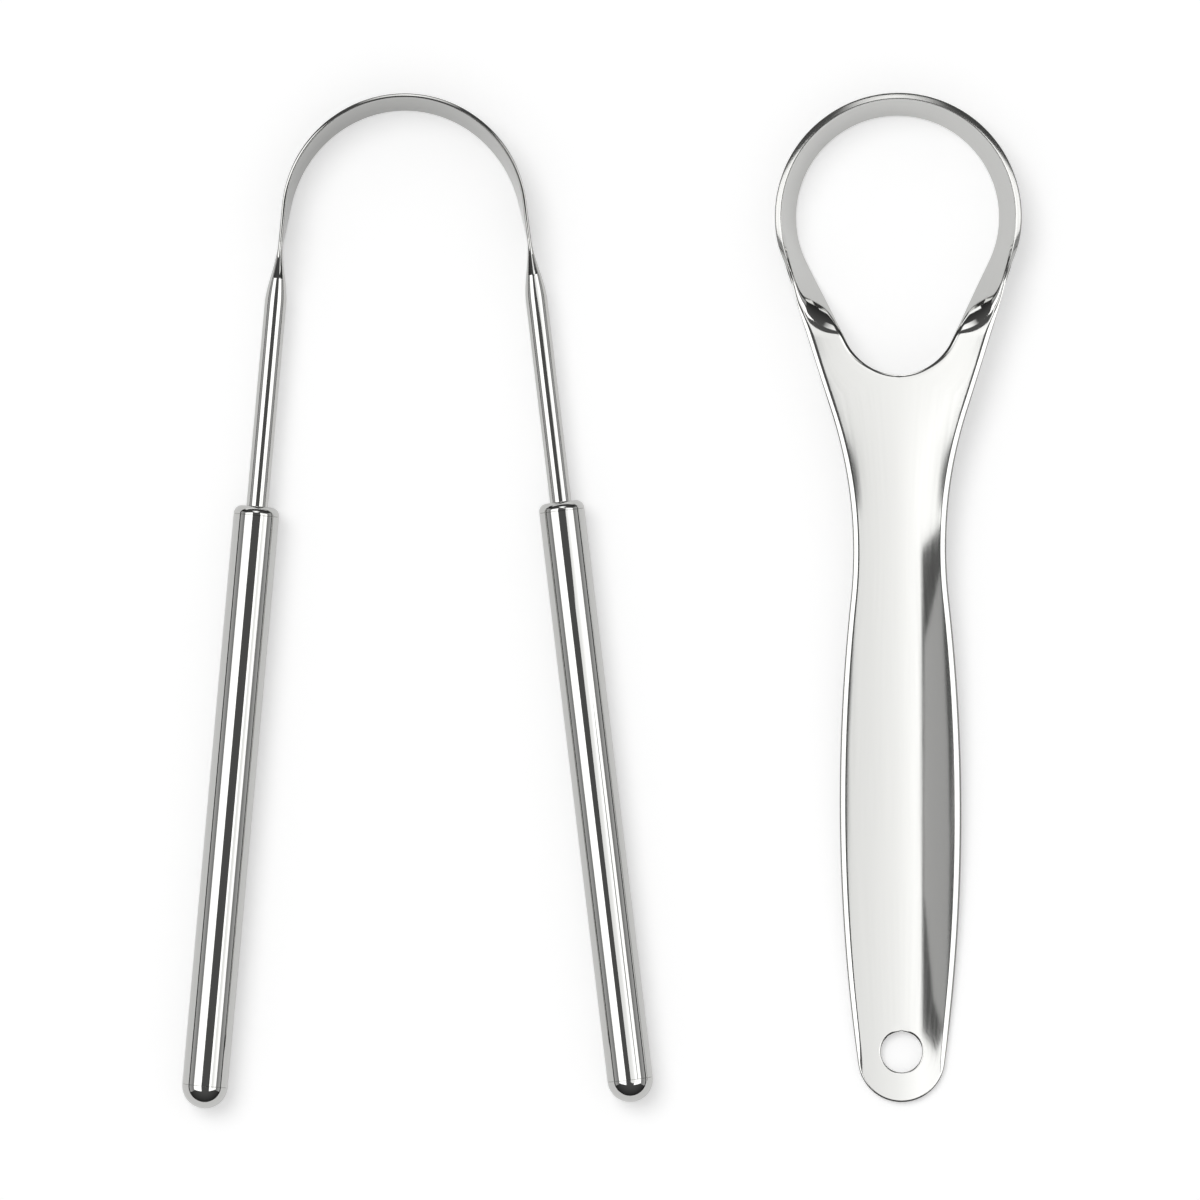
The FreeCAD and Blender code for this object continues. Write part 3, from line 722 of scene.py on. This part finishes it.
def floor_material():
    """White paper: matt, and lifted to white where the camera or the steel looks at it, shadows kept."""
    material = bpy.data.materials.new("white_paper")
    material.use_nodes = True
    tree = material.node_tree
    shader = tree.nodes["Principled BSDF"]
    shader.inputs["Base Color"].default_value = linear("#EDEDED")
    shader.inputs["Roughness"].default_value = 1.0
    shader.inputs["Specular IOR Level"].default_value = 0.0
    rays = add_node(tree, "ShaderNodeLightPath")
    seen = add_node(tree, "ShaderNodeMath", {0: rays.outputs["Is Camera Ray"],
                                             1: rays.outputs["Is Transmission Ray"]}, operation="MAXIMUM")
    mirrored = add_node(tree, "ShaderNodeMath", {0: rays.outputs["Is Glossy Ray"], 1: MIRRORED_GLOW},
                        operation="MULTIPLY")
    glow = add_node(tree, "ShaderNodeMath", {0: seen.outputs[0], 1: FLOOR_GLOW, 2: mirrored.outputs[0]},
                    operation="MULTIPLY_ADD")
    shader.inputs["Emission Color"].default_value = (1, 1, 1, 1)
    tree.links.new(glow.outputs[0], shader.inputs["Emission Strength"])
    return material


def flat_sheet(name, corners, material):
    """A flat stage sheet, with corners in metres."""
    mesh = bpy.data.meshes.new(name)
    mesh.from_pydata(corners, [], [tuple(range(len(corners)))])
    mesh.materials.append(material)
    made = bpy.data.objects.new(name, mesh)
    bpy.context.scene.collection.objects.link(made)
    return made


def glow_card(name, corners, stops, start, stop):
    """A card that only reflections show.

    Its radiance follows stops, pairs of place and radiance, from start to stop.
    """
    material = bpy.data.materials.new(name)
    material.use_nodes = True
    tree = material.node_tree
    tree.nodes.remove(tree.nodes["Principled BSDF"])
    place = add_node(tree, "ShaderNodeTexCoord")
    run = np.array(stop) - np.array(start)
    along = add_node(tree, "ShaderNodeVectorMath", {0: place.outputs["Object"], 1: tuple(start)},
                     operation="SUBTRACT")
    share = add_node(tree, "ShaderNodeVectorMath", {0: along.outputs[0], 1: tuple(run / (run @ run))},
                     operation="DOT_PRODUCT")
    curve = add_node(tree, "ShaderNodeFloatCurve", {"Value": share.outputs["Value"]})
    points = curve.mapping.curves[0].points
    highest = max(radiance for at, radiance in stops)
    for k, (at, radiance) in enumerate(stops):
        if k < 2:
            points[k].location = (at, radiance / highest)
        else:
            points.new(at, radiance / highest)
    for point in points:
        point.handle_type = "VECTOR"
    curve.mapping.update()
    strength = add_node(tree, "ShaderNodeMath", {0: curve.outputs[0], 1: highest}, operation="MULTIPLY")
    glow = add_node(tree, "ShaderNodeEmission", {"Strength": strength.outputs[0]})
    tree.links.new(glow.outputs[0], tree.nodes["Material Output"].inputs["Surface"])
    card = flat_sheet(name, corners, material)
    card.visible_camera = False
    card.visible_diffuse = False
    card.visible_transmission = False
    card.visible_shadow = False


def level_card(name, low, high, height, stops):
    """A level card between two (x, y) corners, whose radiance changes along x."""
    (x0, y0), (x1, y1) = low, high
    corners = [(x0, y0, height), (x0, y1, height), (x1, y1, height), (x1, y0, height)]
    glow_card(name, corners, stops, (x0, 0, 0), (x1, 0, 0))


floor_corners = [(-FLOOR_REACH, -FLOOR_REACH, FLOOR_LEVEL), (FLOOR_REACH, -FLOOR_REACH, FLOOR_LEVEL),
                 (FLOOR_REACH, FLOOR_REACH, FLOOR_LEVEL), (-FLOOR_REACH, FLOOR_REACH, FLOOR_LEVEL)]
flat_sheet("paper_floor", floor_corners, floor_material())
level_card("softbox_left", low=(-1.56, -0.6), high=(-0.36, 0.48), height=1.0, stops=[(0, 1.8), (1, 2.2)])
level_card("softbox_right", low=(0.36, -0.6), high=(1.56, 0.48), height=1.0, stops=[(0, 2.2), (1, 1.8)])
for side, x in (("left", -SIDE_WALL), ("right", SIDE_WALL)):
    side_corners = [(x, -SIDE_HALF_WIDTH, SIDE_LOW), (x, SIDE_HALF_WIDTH, SIDE_LOW),
                    (x, SIDE_HALF_WIDTH, SIDE_HIGH), (x, -SIDE_HALF_WIDTH, SIDE_HIGH)]
    glow_card("wall_" + side, side_corners, [(0, 0.58), (1, 0.25)], (0, 0, SIDE_LOW), (0, 0, SIDE_HIGH))
back_corners = [(-BACK_HALF_WIDTH, BACK_WALL, BACK_LOW), (BACK_HALF_WIDTH, BACK_WALL, BACK_LOW),
                (BACK_HALF_WIDTH, BACK_WALL, BACK_HIGH), (-BACK_HALF_WIDTH, BACK_WALL, BACK_HIGH)]
glow_card("wall_back", back_corners, [(0, 0.3), (0.2, 1.3), (0.5, 2.0), (0.8, 1.3), (1, 0.3)],
          (-BACK_HALF_WIDTH, 0, 0), (BACK_HALF_WIDTH, 0, 0))
low_light_edge = [(-LOW_LIGHT_HALF_WIDTH, LOW_LIGHT_FOOT), (LOW_LIGHT_HALF_WIDTH, LOW_LIGHT_FOOT),
                  (LOW_LIGHT_HALF_WIDTH, 0.12), (0, 0.15), (-LOW_LIGHT_HALF_WIDTH, 0.3)]
glow_card("low_light_back", [(x, BACK_WALL, z) for x, z in low_light_edge], [(0, 1.6), (1, 1.4)],
          (-LOW_LIGHT_HALF_WIDTH, 0, 0), (LOW_LIGHT_HALF_WIDTH, 0, 0))


def card_over_loop(name, height, outline, stops):
    """A card level over the loop scraper.

    Its outline, in mm, is across and along the handle from the ring's centre. It is spread about the
    frame's origin by 1 + height / CAMERA_HEIGHT, as the camera's rays are on their way back up.
    """
    flat = np.array(outline) * MM
    placed = (turned(flat, LOOP_TURN) + loop_centre * MM) * (1 + height / CAMERA_HEIGHT)
    corners = [(x, y, height) for x, y in placed]
    glow_card(name, corners, stops, (placed[:, 0].min(), 0, 0), (placed[:, 0].max(), 0, 0))


# The crown mirrors a card 110 mm over it almost five times as wide as itself, and 12 mm nearer to its end.
# Both cards hang above the loop scraper's highest lift.
card_over_loop("white_card", WHITE_CARD_HEIGHT,
               [(-40, 0), (-40, -9), (-15, -11), (-12, -19), (-13.2, -33.4), (-19.1, -46),
                (-24.9, -52.6), (-28.5, -53.3), (-27.2, -60), (-29.4, -72.3), (-33.2, -87.3),
                (-34.5, -102.3), (-33.6, -117.3), (-32.8, -127.3), (-34.4, -138.6), (-21.8, -151.5),
                (31.2, -151.5), (36, -138.6), (27.4, -129), (22.5, -131.5), (13.2, -128.6),
                (13.4, -58.6), (26.3, -55.4), (28.5, -53.3), (24.9, -52.6), (19.1, -46),
                (13.2, -33.4), (12, -19), (15, -11), (40, -9), (40, 0)],
               [(0, 1.22), (0.26, 1.28), (0.47, 1.42), (0.66, 1.72), (1, 1.6)])
card_over_loop("grey_card", GREY_CARD_HEIGHT,
               [(11.9, -69.1), (11.6, -105.3), (14.7, -115.8), (16.4, -121), (20.2, -124.4), (22.7, -124.5),
                (24.4, -113.9), (25.1, -98.9), (24.2, -83.9), (21.7, -68.9), (20.4, -58.4)],
               [(0, 0.55), (1, 0.5)])

key = bpy.data.objects.new("soft_key", bpy.data.lights.new("soft_key", "SUN"))
key.data.energy = 1.0
key.data.angle = KEY_SPREAD
key.rotation_euler = (KEY_LEAN, KEY_LEAN, 0)
key.visible_glossy = False
bpy.context.scene.collection.objects.link(key)

world = bpy.data.worlds.new("dark_studio")
bpy.context.scene.world = world
world.use_nodes = True
sky = world.node_tree
rays = add_node(sky, "ShaderNodeLightPath")
direction = add_node(sky, "ShaderNodeTexCoord")
height = add_node(sky, "ShaderNodeSeparateXYZ", {"Vector": direction.outputs["Generated"]})
gloom = add_node(sky, "ShaderNodeMapRange", {"Value": height.outputs["Z"], "From Min": 0.0, "From Max": 0.9,
                                             "To Min": 0.02, "To Max": 0.11})
dim = add_node(sky, "ShaderNodeMix", {"Factor": rays.outputs["Is Glossy Ray"], "A": AMBIENT,
                                      "B": gloom.outputs["Result"]}, data_type="FLOAT")
plain = add_node(sky, "ShaderNodeMath", {0: rays.outputs["Is Camera Ray"],
                                         1: rays.outputs["Is Transmission Ray"]}, operation="MAXIMUM")
glow = add_node(sky, "ShaderNodeMix", {"Factor": plain.outputs[0], "A": dim.outputs["Result"], "B": 1.0},
                data_type="FLOAT")
backdrop = sky.nodes["Background"]
backdrop.inputs["Color"].default_value = (1, 1, 1, 1)
sky.links.new(glow.outputs["Result"], backdrop.inputs["Strength"])

# Camera straight above with a long lens; VIEW_WIDTH is what the frame takes in at mid-height
lens = bpy.data.cameras.new("camera")
lens.sensor_width = 36.0
lens.lens = lens.sensor_width * (CAMERA_HEIGHT - MID_HEIGHT * MM) / VIEW_WIDTH
camera = bpy.data.objects.new("camera", lens)
camera.location = (*VIEW_CENTRE, CAMERA_HEIGHT)
bpy.context.scene.collection.objects.link(camera)
bpy.context.scene.camera = camera
bpy.context.scene.view_settings.view_transform = "Standard"
